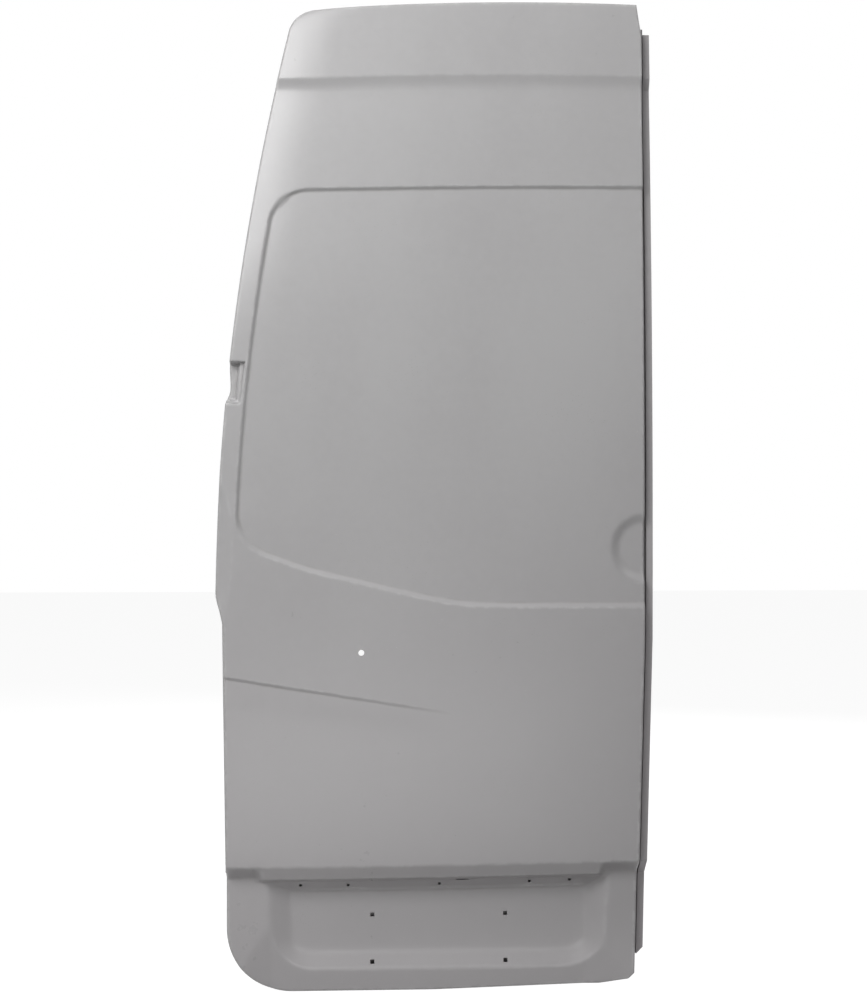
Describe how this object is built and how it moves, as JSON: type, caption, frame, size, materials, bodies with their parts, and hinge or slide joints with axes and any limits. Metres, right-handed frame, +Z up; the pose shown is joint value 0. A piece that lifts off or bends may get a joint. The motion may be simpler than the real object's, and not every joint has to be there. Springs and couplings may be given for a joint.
{
  "type": "rear barn door leaf",
  "caption": "Bare pressed-steel left-hand rear barn door leaf of a high-roof panel van in grey primer, with blanked window, handle dish and number plate recess.",
  "frame": {"origin": "centre of the upper hinge seat's flat face, in the hinge pocket of the left edge", "axes": "+X to the right seen from outside, from the hinge edge to the closing edge; +Y inward from the outer skin; +Z up"},
  "size_m": [0.8679, 0.132, 1.9739],
  "materials": {
    "primer_skin": "satin grey primer on pressed steel",
    "primer_frame": "thin grey primer on pressed steel",
    "primer_flange": "thin dull primer on pressed steel",
    "plated_steel": "zinc-plated steel plate",
    "mastic": "soft black mastic bead"
  },
  "bodies": {
    "root": {"outer_skin": "primer_skin", "upper_hinge_pocket": "primer_skin", "hinge_stile": "primer_frame", "lock_stile": "primer_frame", "top_rail": "primer_frame", "bottom_rail": "primer_frame", "upper_cross_rail": "primer_frame", "header_rail": "primer_frame", "waist_rail": "primer_frame", "lower_cross_rail": "primer_frame", "lower_inner_panel": "primer_frame", "closing_flange": "primer_flange", "upper_hinge_pad": "primer_frame", "lower_hinge_pad": "primer_frame", "upper_hinge_nut_plate": "plated_steel", "lower_hinge_nut_plate": "plated_steel", "check_strap_plate": "plated_steel", "striker_plate": "plated_steel", "release_lever_plate": "plated_steel", "top_latch_plate": "plated_steel", "bottom_latch_plate": "plated_steel", "upper_brace": "primer_frame", "lower_brace": "primer_frame", "upper_mastic": "mastic", "lower_mastic": "mastic"}
  },
  "joints": []
}
